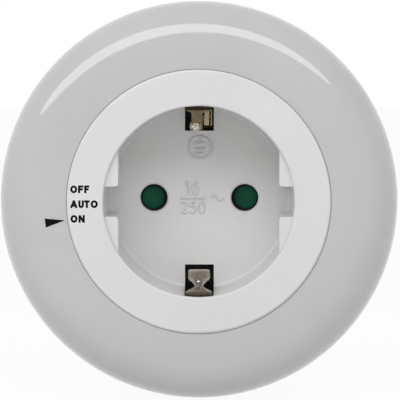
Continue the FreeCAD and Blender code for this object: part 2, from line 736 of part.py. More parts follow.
def earth_strip(label, turn):
    """The plug's own earth contact in its groove, and the bar that carries it to the foot of the front clip."""
    level, back = d["earth_level"], d["plug_length"]
    foot = d["strip_thick"] * 2 + 0.05 - d["clip_tab"]
    bent_strip(label, [
        (back - 0.6, level - 0.05),
        (back - 3.2, level + d["earth_bow"]),
        (back - 12.5, level + d["earth_bow"]),
        (back - 15.0, level),
        (foot, level),
        (foot, d["window_inner"] + 0.6),
    ], [], turn)


def earth_clip(label, turn):
    """The spring contact in the recess: rear tab, arm, nose that touches the plug, and the lead-in at the mouth."""
    tab, arm, tip = -d["clip_tab"], -FLOOR_FRONT - d["clip_arm"], -d["clip_front"]
    nose = tip + d["clip_mouth_run"]
    beyond, waist = d["earth_width"] / 2 + d["overcut"], d["earth_waist"] / 2
    notch, aside, tab_half = d["clip_notch"] / 2, d["clip_notch_aside"], d["clip_tab_width"] / 2
    inside_tab = tab - d["strip_thick"] / 4
    cuts = [[(aside - notch, inside_tab), (aside + notch, inside_tab), (aside + notch, 0), (aside - notch, 0)]]
    for side in (1, -1):
        cuts.append([
            (beyond * side, arm + d["waist_lead"]),
            (waist * side, nose + d["waist_back"]),
            (waist * side, nose - d["waist_front"]),
            (beyond * side, tip + d["waist_mouth"]),
        ])
        cuts.append([
            (tab_half * side, tab - d["tab_neck"]), (beyond * side, tab - d["tab_neck"] - d["overcut"]),
            (beyond * side, 0), (tab_half * side, 0),
        ])
    bent_strip(label, [
        (tab, d["window_inner"] + d["tab_play"]),
        (tab, d["earth_level"] - d["tab_rise"]),
        (arm, d["earth_level"] + d["strip_play"]),
        (nose + d["nose_back"], d["clip_nose"]),
        (nose - d["nose_front"], d["clip_nose"] + d["nose_rise"], d["nose_round"], "right"),
        (tip, d["clip_mouth"]),
    ], cuts, turn)


def earth_link():
    """The strap that joins the upper and lower earth strips across the plug."""
    body = new_body("earth_link")
    reach, half, narrow = d["earth_level"], d["earth_width"] / 2, d["earth_width"] / 2 - 0.9
    taper_start, taper_end = reach - 3.5, reach - 5.5
    upper = [(half, taper_start), (half, reach), (-half, reach), (-half, taper_start), (-narrow, taper_end)]
    lower = [(-x, -z) for x, z in upper]
    outline = at_depth(body, d["wire_depth"])
    add_path(outline, [(narrow, taper_end)] + upper + [(-narrow, -taper_end)] + lower[:-1] + [(narrow, -taper_end)])
    pad(body, outline, d["strip_thick"], name="Strap")


def contact_carrier():
    """The moulding behind the recess floor: plate, rim, two towers for the sleeves and the shutter's pivot."""
    body = new_body("contact_carrier")
    rim_bore = d["carrier_radius"] - d["carrier_rim"]
    turned(body, [
        (0, -d["carrier_back"]),
        (d["carrier_radius"], -d["carrier_back"]),
        (d["carrier_radius"], -FLOOR_BACK),
        (rim_bore, -FLOOR_BACK),
        (rim_bore, -PLATE_FRONT),
        (0, -PLATE_FRONT),
    ])
    towers = at_depth(body, d["carrier_back"])
    bores = at_depth(body, PLATE_FRONT)
    for side in (1, -1):
        add_circle(towers, HALF_PINS * side, 0, d["tower_radius"])
        add_circle(bores, HALF_PINS * side, 0, d["tower_bore"])
    pad(body, towers, d["carrier_back"] + d["tower_back"], False, "Towers")
    pocket(body, bores, PLATE_FRONT + d["tower_back"] + 1.0, False, "TowerBores")
    pivot = at_depth(body, PLATE_FRONT)
    add_circle(pivot, 0, 0, d["pivot_radius"])
    pad(body, pivot, FLOOR_BACK - PLATE_FRONT - 0.2, name="Pivot")

    # one peg holds an arm at rest and the other, past the end of its travel, stops it open
    beside_arm = d["shutter_arm"].value / 2 + d["stop_radius"].value + 0.2
    at_rest = math.degrees(math.asin(beside_arm / d["stop_circle"].value))
    opened = -d["shutter_travel"].value - at_rest
    stops = at_depth(body, PLATE_FRONT)
    for angle in (at_rest, opened, at_rest + 180, opened + 180):
        add_circle(stops, *on_circle(d["stop_circle"], angle), d["stop_radius"])
    pad(body, stops, FLOOR_BACK - PLATE_FRONT - 0.4, name="Stops")

    slots = at_depth(body, FLOOR_BACK + 1.0)
    half = d["window_width"] / 2 + 0.1
    for side in (1, -1):
        add_box(slots, -half, half, (d["window_inner"] + 0.2) * side, (d["carrier_radius"] + 1.0) * side)
    pocket(body, slots, FLOOR_BACK + 2.0 - d["carrier_back"], False, "EarthSlots")


def contact_sleeve(label, side):
    """The slit brass sleeve that grips a plug's pin."""
    body = new_body(label)
    front = d["carrier_back"] - 0.4
    outer = d["sleeve_bore"] + d["sleeve_wall"]
    tube = at_depth(body, front)
    add_circle(tube, 0, 0, outer)
    add_circle(tube, 0, 0, d["sleeve_bore"])
    pad(body, tube, front + SLEEVE_BACK, False, "Tube")
    slit = at_depth(body, front)
    half = d["sleeve_slit"] / 2
    add_box(slit, -half, half, d["sleeve_bore"] / 2, outer + 1.0)
    pocket(body, slit, front + SLEEVE_BACK - d["sleeve_neck"], False, "Slit")
    body.setExpression("Placement.Base.x", (HALF_PINS * side).text)


def contact_strip(label, side):
    """The plate between a sleeve and a plug pin, with a tab for the wire."""
    body = new_body(label)
    outline = at_depth(body, -SLEEVE_BACK)
    half, tab, top = d["strip_width"] / 2, d["tab_width"] / 2, d["strip_width"] / 2 - 0.2
    add_path(outline, [
        (-half, -top), (half, -top), (half, top), (tab, top),
        (tab, d["tab_reach"]), (-tab, d["tab_reach"]), (-tab, top), (-half, top),
    ])
    pad(body, outline, d["strip_thick"], False, "Plate")
    body.setExpression("Placement.Base.x", (HALF_PINS * side).text)


def shutter():
    """The green safety shutter: two lobes on an arm, with a hub and a ramp on each lobe."""
    body = new_body("shutter")
    front = FLOOR_BACK - d["shutter_gap"]
    back = front - d["shutter_thick"]
    hub_back = PLATE_FRONT + 0.3
    half, lobe = d["shutter_arm"] / 2, d["shutter_lobe"]
    arm = at_depth(body, back)
    add_box(arm, -HALF_PINS, HALF_PINS, -half, half)
    pad(body, arm, d["shutter_thick"], name="Arm")
    lobes = at_depth(body, back)
    for side in (1, -1):
        add_circle(lobes, HALF_PINS * side, 0, lobe)
    pad(body, lobes, d["shutter_thick"], name="Lobes")
    hub = at_depth(body, hub_back)
    add_circle(hub, 0, 0, d["shutter_hub"])
    pad(body, hub, front - hub_back, name="Hub")
    bore = at_depth(body, hub_back)
    add_circle(bore, 0, 0, d["pivot_bore"])
    pocket(body, bore, front - hub_back, name="Bore")
    for side in (1, -1):
        ramp = new_sketch(body, "YZ_Plane", (HALF_PINS - lobe - 0.6) * side)
        start, end = -d["ramp_start"] * side, (lobe + 1.0) * side
        add_path(ramp, [
            (-front - 0.5, start), (-front, start), (d["ramp_drop"] - front, end), (-front - 0.5, end),
        ])
        cut = feature(body, "Pocket", ramp, "Ramp")
        cut.setExpression("Length", (lobe * 3).text)
        cut.Reversed = side > 0


def shutter_spring():
    """The torsion spring round the shutter's hub."""
    body = new_body("shutter_spring")
    section = lengthwise(body)
    front = PLATE_FRONT + d["spring_wire"] + d["spring_height"] + 0.08
    add_circle(section, d["spring_radius"], -front, d["spring_wire"])
    coil = feature(body, "AdditiveHelix", section, "Coil")
    coil.ReferenceAxis = (section, ["V_Axis"])
    coil.Mode = "pitch-height-angle"
    coil.Angle = 0
    coil.setExpression("Pitch", d["spring_pitch"].text)
    coil.setExpression("Height", d["spring_height"].text)


def circuit_board():
    """The ring-shaped board, with its screw holes."""
    body = new_body("circuit_board")
    outline = at_depth(body, BOARD_BACK)
    add_circle(outline, 0, 0, d["board_outer"])
    add_circle(outline, 0, 0, d["board_inner"])
    pad(body, outline, d["board_thick"], name="Board")
    hole = at_depth(body, BOARD_BACK)
    add_circle(hole, *on_circle(d["post_circle"], POST_ANGLE), d["post_pilot"] + 0.2)
    ring_of(body, [pocket(body, hole, d["board_thick"] + 1.0, name="Hole")], 3, "Holes")


def led(number, angle):
    """A surface-mounted LED facing the diffuser."""
    body = new_body(f"led_{number}")
    half_width, half_length = d["led_width"] / 2, d["led_length"] / 2
    middle = d["parts_circle"]
    package = at_depth(body, BOARD_FRONT)
    add_box(package, middle - half_width, middle + half_width, -half_length, half_length)
    pad(body, package, d["led_height"], name="Package")
    lens = at_depth(body, BOARD_FRONT + d["led_height"])
    add_circle(lens, middle, 0, d["lens_radius"])
    domed = pad(body, lens, d["lens_height"], name="Lens")
    domed.TaperAngle = -40
    body.Placement = FreeCAD.Placement(Vector(), turn_round(angle))


def light_sensor():
    """The photoresistor that looks out through the diffuser, on its two leads."""
    body = new_body("light_sensor")
    disc = at_depth(body, d["sensor_depth"])
    add_circle(disc, 0, d["parts_circle"], d["sensor_radius"])
    pad(body, disc, d["sensor_thick"], name="Disc")
    leads = at_depth(body, BOARD_FRONT)
    for side in (1, -1):
        add_circle(leads, d["sensor_radius"] / 2 * side, d["parts_circle"], d["lead_radius"])
    pad(body, leads, d["sensor_depth"] - BOARD_FRONT, name="Leads")


def film_capacitor(angle):
    """The mains dropper capacitor, a moulded box behind the board."""
    body = new_body("film_capacitor")
    outline = at_depth(body, BOARD_BACK)
    middle = d["parts_circle"] - 0.6
    half_width, half_length = d["film_width"] / 2, d["film_length"] / 2
    add_box(outline, middle - half_width, middle + half_width, -half_length, half_length)
    box = pad(body, outline, d["film_height"], False, "Case")
    doc.recompute()
    upright = [
        f"Edge{number}"
        for number, edge in enumerate(box.Shape.Edges, start=1)
        if abs(edge.tangentAt(edge.FirstParameter).y) > 0.9
    ]
    rounded = body.newObject("PartDesign::Fillet", "Corners")
    rounded.Base = (box, upright)
    rounded.Radius = 0.6
    body.Placement = FreeCAD.Placement(Vector(), turn_round(angle))


def electrolytic_capacitor(angle):
    """The smoothing capacitor, lying behind the board, with the groove rolled into the can near its seal."""
    body = new_body("electrolytic_capacitor")
    radius, groove, half = d["can_radius"], d["can_groove"], d["can_length"] / 2
    turned(body, [
        (0, -half),
        (radius, -half),
        (radius, 1.2 - half),
        (radius - groove, 1.7 - half),
        (radius, 2.2 - half),
        (radius, half - 0.5),
        (radius - 0.5, half, 0.5, "left"),
        (0, half),
    ], "Can")
    lay_behind_board(body, radius, angle)


def axial_resistor(label, angle, radius, length):
    """A resistor lying behind the board, on its two bent leads."""
    body = new_body(label)
    lead, half, waist = d["lead_radius"], length / 2, radius - 0.2
    reach = half + 1.6
    turned(body, [
        (0, -reach), (lead, -reach), (lead, -half), (radius - 0.3, -half), (radius, 0.4 - half),
        (radius, 1.2 - half), (waist, 1.7 - half), (waist, half - 1.7), (radius, half - 1.2),
        (radius, half - 0.4), (radius - 0.3, half), (lead, half), (lead, reach), (0, reach),
    ], "Case")
    ends = new_sketch(body, "XY_Plane")
    for side in (1, -1):
        add_circle(ends, 0, (reach - lead * 1.5) * side, lead * 0.8)
    legs = feature(body, "Pad", ends, "Legs")
    legs.setExpression("Length", (radius + 0.8).text)
    lay_behind_board(body, radius + 0.8, angle)


def bridge_rectifier(angle):
    """A moulded four-pin rectifier behind the board."""
    body = new_body("bridge_rectifier")
    middle, half_width, half_length = d["parts_circle"], d["bridge_width"] / 2, d["bridge_length"] / 2
    case = at_depth(body, BOARD_BACK - 0.4)
    add_box(case, middle - half_width, middle + half_width, -half_length, half_length)
    pad(body, case, d["bridge_height"], False, "Case")
    pins = at_depth(body, BOARD_BACK)
    low, high = half_length - 1.6, half_length - 0.8
    for x_side in (1, -1):
        for z_side in (1, -1):
            near, far = middle + half_width * x_side, middle + (half_width + 0.5) * x_side
            add_box(pins, near, far, low * z_side, high * z_side)
    pad(body, pins, d["bridge_height"] / 2 + 0.4, False, "Pins")
    body.Placement = FreeCAD.Placement(Vector(), turn_round(angle))


def transistor(angle):
    """A small transistor on three leads behind the board, flat on one side."""
    body = new_body("transistor")
    middle, radius = d["parts_circle"], d["transistor_radius"]
    flat = radius - 0.6
    chord = root(radius * radius - flat * flat)
    case = at_depth(body, BOARD_BACK - 1.5)
    add_path(case, [
        (middle + flat, chord),
        (middle - radius, 0, radius, "left"),
        (middle + flat, -chord, radius, "left"),
    ])
    pad(body, case, d["transistor_height"], False, "Case")
    leads = at_depth(body, BOARD_BACK)
    for step in (-1, 0, 1):
        add_circle(leads, middle, d["lead_radius"] * 4 * step, d["lead_radius"])
    pad(body, leads, as_size(1.5), False, "Leads")
    body.Placement = FreeCAD.Placement(Vector(), turn_round(angle))


def switch_body():
    """The three-position slide switch at six o'clock on the board, with the slot that its slider runs in."""
    body = new_body("switch_body")
    half_length, half_width = d["switch_length"] / 2, d["switch_width"] / 2
    middle = -d["switch_circle"]
    case = at_depth(body, BOARD_FRONT)
    add_box(case, -half_length, half_length, middle - half_width, middle + half_width)
    pad(body, case, d["switch_height"], name="Case")
    slot = at_depth(body, BOARD_FRONT + d["switch_height"])
    half_slot = d["knob_width"] / 2 + 0.2
    add_box(slot, 1.2 - half_length, half_length - 1.2, middle - half_slot, middle + half_slot)
    pocket(body, slot, d["slot_depth"], False, "Slot")


def switch_slider():
    """The knob that stands between the diffuser's two prongs."""
    body = new_body("switch_slider")
    sunk = d["slot_depth"] - 0.15
    half_length, half_width = d["knob_length"] / 2, d["knob_width"] / 2
    middle = -d["switch_circle"]
    outline = at_depth(body, BOARD_FRONT + d["switch_height"] - sunk)
    add_box(outline, -half_length, half_length, middle - half_width, middle + half_width)
    pad(body, outline, d["knob_height"] + sunk, name="Knob")
    body.setExpression("Placement.Base.x", (d["switch_circle"] * sine(d["position_step"])).text)


def screws(label, count, circle, angle, seat, forwards, head, shank, reach):
    """Pan-head screws on a circle, each a solid of its own. The seat is the depth of the head's underside."""
    body = new_body(label)
    body.AllowCompound = True
    head_radius, head_thick = head
    towards = 1 if forwards else -1
    spot = on_circle(circle, angle)
    top = at_depth(body, seat)
    add_circle(top, *spot, head_radius)
    one = [pad(body, top, head_thick, not forwards, "Head")]
    stem = at_depth(body, seat)
    add_circle(stem, *spot, shank)
    one.append(pad(body, stem, (reach - seat) * towards, forwards, "Shank"))
    half_width, half_length = d["drive_width"] / 2, head_radius * d["drive_share"] / 2
    for along, across in ((half_length, half_width), (half_width, half_length)):
        bar = at_depth(body, seat - head_thick * towards, angle)
        add_box(bar, circle - along, circle + along, -across, across)
        one.append(pocket(body, bar, d["drive_depth"], forwards, "Drive"))
    ring_of(body, one, count, "Screws")


def wire(label, turn):
    """An insulated wire from a contact strip's tab, out under the insert's skirt and forward to the board."""
    body = new_body(label)
    start, end, level, bend = d["wire_start"], d["wire_end"], -d["wire_depth"], d["wire_bend"]
    route = lengthwise(body, turn)
    add_path(route, [
        (start, SLEEVE_BACK),
        (start, level + bend),
        (start + bend, level, bend, "left"),
        (end - bend, level),
        (end, level - bend, bend, "right"),
        (end, -BOARD_BACK),
    ], closed=False)
    section = at_depth(body, -SLEEVE_BACK, turn)
    add_circle(section, start, 0, d["wire_radius"])
    tube = feature(body, "AdditivePipe", section, "Wire")
    tube.Spine = (route, [])


def build():
    socket_cup()
    diffuser()
    rear_housing()
    housing_collar()
    plug_body()
    for name, side in (("left", -1), ("right", 1)):
        plug_pin(f"plug_pin_{name}", side)
        contact_sleeve(f"contact_sleeve_{name}", side)
        contact_strip(f"contact_strip_{name}", side)
    for name, turn in (("top", 0), ("bottom", 180)):
        earth_strip(f"earth_strip_{name}", turn)
        earth_clip(f"earth_clip_{name}", turn)
    earth_link()
    contact_carrier()
    shutter()
    shutter_spring()
    circuit_board()
    for number, angle in enumerate(LED_ANGLES, start=1):
        led(number, angle)
    light_sensor()
    film_capacitor(90.0)
    electrolytic_capacitor(210.0)
    bridge_rectifier(240.0)
    axial_resistor("fusible_resistor", 0.0, d["fusible_radius"], d["fusible_length"])
    axial_resistor("bleed_resistor", 315.0, d["bleed_radius"], d["bleed_length"])
    transistor(120.0)
    switch_body()
    switch_slider()
    housing_head = (d["screw_head"], d["screw_head_thick"])
    board_head = (d["small_head"], d["small_head_thick"])
    screws("housing_screws", 4, d["boss_circle"], BOSS_ANGLE, d["counterbore_depth"], True,
           housing_head, d["screw_shank"], d["screw_reach"])
    screws("board_screws", 3, d["post_circle"], POST_ANGLE, BOARD_FRONT, False,
           board_head, d["small_shank"], d["small_reach"])
    wire("wire_live", 180 - WIRE_ANGLE)
    wire("wire_neutral", WIRE_ANGLE)


def check():
    """Stops if anything failed or came out empty or broken."""
    failed = [thing.Label for thing in doc.Objects if {"Invalid", "Error"} & set(thing.State)]
    if failed:
        raise RuntimeError(f"failed objects: {failed}")
    for piece in pieces:
        if piece.Shape.isNull() or not piece.Shape.isValid() or not piece.Shape.Solids:
            raise RuntimeError(f"bad shape: {piece.Label}")


build()
doc.recompute()
check()
os.makedirs("parts", exist_ok=True)
for piece in pieces:
    piece.Shape.exportStep(f"parts/{piece.Label}.step")
print(len(pieces), "sub-parts")
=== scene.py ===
"""Looks of a round plug-in night light with a pass-through socket. Lengths are millimetres until a mesh is made."""

import json
import math

import bmesh
import bpy
import numpy as np
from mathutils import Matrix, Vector


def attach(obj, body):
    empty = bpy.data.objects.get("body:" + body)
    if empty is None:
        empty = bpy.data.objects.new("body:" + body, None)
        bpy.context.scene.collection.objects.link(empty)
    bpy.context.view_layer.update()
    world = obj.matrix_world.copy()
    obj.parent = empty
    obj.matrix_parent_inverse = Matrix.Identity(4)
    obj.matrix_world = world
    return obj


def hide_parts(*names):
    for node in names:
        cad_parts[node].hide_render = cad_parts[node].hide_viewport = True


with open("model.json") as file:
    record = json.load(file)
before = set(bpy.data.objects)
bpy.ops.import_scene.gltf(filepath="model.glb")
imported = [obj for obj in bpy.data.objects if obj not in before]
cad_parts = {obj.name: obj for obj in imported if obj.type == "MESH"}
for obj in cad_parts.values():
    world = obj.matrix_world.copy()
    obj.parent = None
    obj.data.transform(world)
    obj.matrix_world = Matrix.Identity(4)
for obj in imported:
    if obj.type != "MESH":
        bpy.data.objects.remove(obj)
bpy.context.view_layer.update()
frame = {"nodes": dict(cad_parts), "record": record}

MM = 0.001
# Steps round the axis of a turned piece
TURNS = 320
# Depths in front of the wall: the face ring and the recess floor
FRONT = 31.5
FLOOR = 14.0

nodes = frame["nodes"]


# Meshes


def arc(centre, radius, start, end, count):
    """Points on a circle: centre plus radius times cosine and sine of an angle that goes evenly from start to
    end."""
    angle = np.radians(np.linspace(start, end, count))
    return np.column_stack((centre[0] + radius * np.cos(angle), centre[1] + radius * np.sin(angle)))


def rounded(corners, steps=6, closed=True):
    """A polygon whose corners (a, b, radius) give way to the arc that touches both their sides."""
    points = np.array([c[:2] for c in corners], float)
    out = []
    for i, corner in enumerate(corners):
        radius = corner[2] if len(corner) > 2 else 0
        if not radius or (not closed and i in (0, len(corners) - 1)):
            out.append(points[i][None])
            continue
        before, here, after = points[i - 1], points[i], points[(i + 1) % len(corners)]
        a = (before - here) / np.linalg.norm(before - here)
        b = (after - here) / np.linalg.norm(after - here)
        half = math.acos(np.clip(a @ b, -1, 1)) / 2
        middle = here + (a + b) / np.linalg.norm(a + b) * radius / math.sin(half)
        first = here + a * radius / math.tan(half) - middle
        last = here + b * radius / math.tan(half) - middle
        t = np.linspace(0, 1, steps + 1)[:, None]
        sweep = math.pi - 2 * half
        out.append(middle + (np.sin((1 - t) * sweep) * first + np.sin(t * sweep) * last) / math.sin(sweep))
    return np.vstack(out)


def lattice(points, close_u=False, close_v=False):
    """Quads over a grid of points: u runs along the first axis, v along the second, and either may join its end to
    its start."""
    rows, columns = points.shape[:2]
    u = np.arange(rows if close_u else rows - 1)
    v = np.arange(columns if close_v else columns - 1)
    u, v = (k.ravel() for k in np.meshgrid(u, v, indexing="ij"))
    up, vp = (u + 1) % rows, (v + 1) % columns
    faces = np.column_stack((u * columns + v, up * columns + v, up * columns + vp, u * columns + vp))
    return points.reshape(-1, 3), faces


def turned(profile, turns=TURNS, closed=True):
    """A profile of (radius, depth) carried round the socket's axis: x = radius cos a, y = -depth,
    z = radius sin a."""
    angle = np.linspace(0, 2 * np.pi, turns, endpoint=False)
    radius, depth = profile[:, 0][:, None], profile[:, 1][:, None]
    grid = np.stack((radius * np.cos(angle), -depth + 0 * angle, radius * np.sin(angle)), axis=-1)
    return lattice(grid, close_u=closed, close_v=True)


def capped(rings):
    """A closed skin over a row of rings, with a point in the middle of the first and the last ring closing the
    ends."""
    first = np.repeat(rings[:1].mean(axis=1, keepdims=True), rings.shape[1], axis=1)
    last = np.repeat(rings[-1:].mean(axis=1, keepdims=True), rings.shape[1], axis=1)
    return lattice(np.concatenate((first, rings, last)), close_v=True)


def piece(name, shells, body, material, replaces=(), sharp=35):
    """One object from closed shells of (points, faces), merged, with its faces turned outwards and smooth up to an
    angle."""
    mesh = bpy.data.meshes.new(name)
    points = np.vstack([s[0] for s in shells]) * MM
    offsets = np.cumsum([0] + [len(s[0]) for s in shells[:-1]])
    faces = np.vstack([s[1] + o for s, o in zip(shells, offsets)])
    mesh.from_pydata(points.tolist(), [], faces.tolist())
    return finished(name, mesh, body, material, replaces, sharp)


def finished(name, mesh, body, material, replaces=(), sharp=35):
    """The object of a mesh that is already in place, riding on its body with its finish."""
    work = bmesh.new()
    work.from_mesh(mesh)
    bmesh.ops.remove_doubles(work, verts=work.verts, dist=1e-7)
    bmesh.ops.dissolve_degenerate(work, edges=work.edges, dist=1e-8)
    bmesh.ops.recalc_face_normals(work, faces=work.faces)
    work.to_mesh(mesh)
    work.free()
    mesh.polygons.foreach_set("use_smooth", [True] * len(mesh.polygons))
    mesh.set_sharp_from_angle(angle=math.radians(sharp))
    mesh.materials.clear()
    mesh.materials.append(material)
    obj = bpy.data.objects.new(name, mesh)
    bpy.context.scene.collection.objects.link(obj)
    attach(obj, body)
    if replaces:
        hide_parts(*replaces)
    return obj


# Materials


def linear(code):
    """Linear red, green, blue and alpha of an sRGB hex colour."""
    parts = [int(code[i:i + 2], 16) / 255 for i in (1, 3, 5)]
    return tuple(p / 12.92 if p <= 0.04045 else ((p + 0.055) / 1.055) ** 2.4 for p in parts) + (1.0,)


def add(tree, kind, links=(), **settings):
    """Adds a shader node, sets its properties, and gives each named socket a value or the socket that feeds it."""
    made = tree.nodes.new("ShaderNode" + kind)
    for key, value in settings.items():
        setattr(made, key, value)
    for key, value in dict(links).items():
        if isinstance(value, bpy.types.NodeSocket):
            tree.links.new(value, made.inputs[key])
        else:
            made.inputs[key].default_value = value
    return made


def surface(name, colour, shade, rough, patch=12.0, grain=0.35, relief=0.004, stretch=(1, 1, 1),
            spots=0.0, spot_colour="#808080", spot_size=2.0, gloss_range=0.06, **shader):
    """A finish with two close colours in soft patches, fine relief, uneven gloss and, if asked, small spots.
    patch, grain and spot_size are the sizes of these in millimetres, relief is a height in millimetres."""
    material = bpy.data.materials.new(name)
    material.use_nodes = True
    tree = material.node_tree
    tree.nodes.clear()
    place = add(tree, "TexCoord").outputs["Object"]
    drawn = add(tree, "Mapping", {"Vector": place, "Scale": stretch}).outputs["Vector"]
    clouds = add(tree, "TexNoise", {"Vector": place, "Scale": 1 / (patch * MM), "Detail": 3.0, "Roughness": 0.55})
    grains = add(tree, "TexNoise", {"Vector": drawn, "Scale": 1 / (grain * MM), "Detail": 2.0, "Roughness": 0.6})
    fade = add(tree, "MapRange", {"Value": clouds.outputs["Fac"], "From Min": 0.35, "From Max": 0.68})
    paint = add(tree, "Mix", {"Factor": fade.outputs["Result"], "A": linear(colour), "B": linear(shade)},
                data_type="RGBA")
    colour_out = paint.outputs["Result"]
    uneven = add(tree, "Math", {0: clouds.outputs["Fac"], 1: grains.outputs["Fac"]}, operation="ADD")
    low, high = max(0.02, rough - gloss_range), min(1.0, rough + gloss_range)
    gloss = add(tree, "MapRange", {"Value": uneven.outputs["Value"], "From Min": 0.7, "From Max": 1.3,
                                   "To Min": low, "To Max": high})
    if spots:
        specks = add(tree, "TexNoise", {"Vector": place, "Scale": 1 / (spot_size * MM), "Detail": 4.0,
                                        "Roughness": 0.7})
        cover = add(tree, "MapRange", {"Value": specks.outputs["Fac"], "From Min": 0.56, "From Max": 0.74,
                                       "To Max": spots})
        stain = add(tree, "Mix", {"Factor": cover.outputs["Result"], "A": colour_out, "B": linear(spot_colour)},
                    data_type="RGBA")
        colour_out = stain.outputs["Result"]
    bump = add(tree, "Bump", {"Height": grains.outputs["Fac"], "Strength": 1.0, "Distance": relief * MM})
    bsdf = add(tree, "BsdfPrincipled", {"Base Color": colour_out, "Roughness": gloss.outputs["Result"],
                                        "Normal": bump.outputs["Normal"], **shader})
    out = add(tree, "OutputMaterial", {"Surface": bsdf.outputs["BSDF"]})
    out.is_active_output = True
    return material


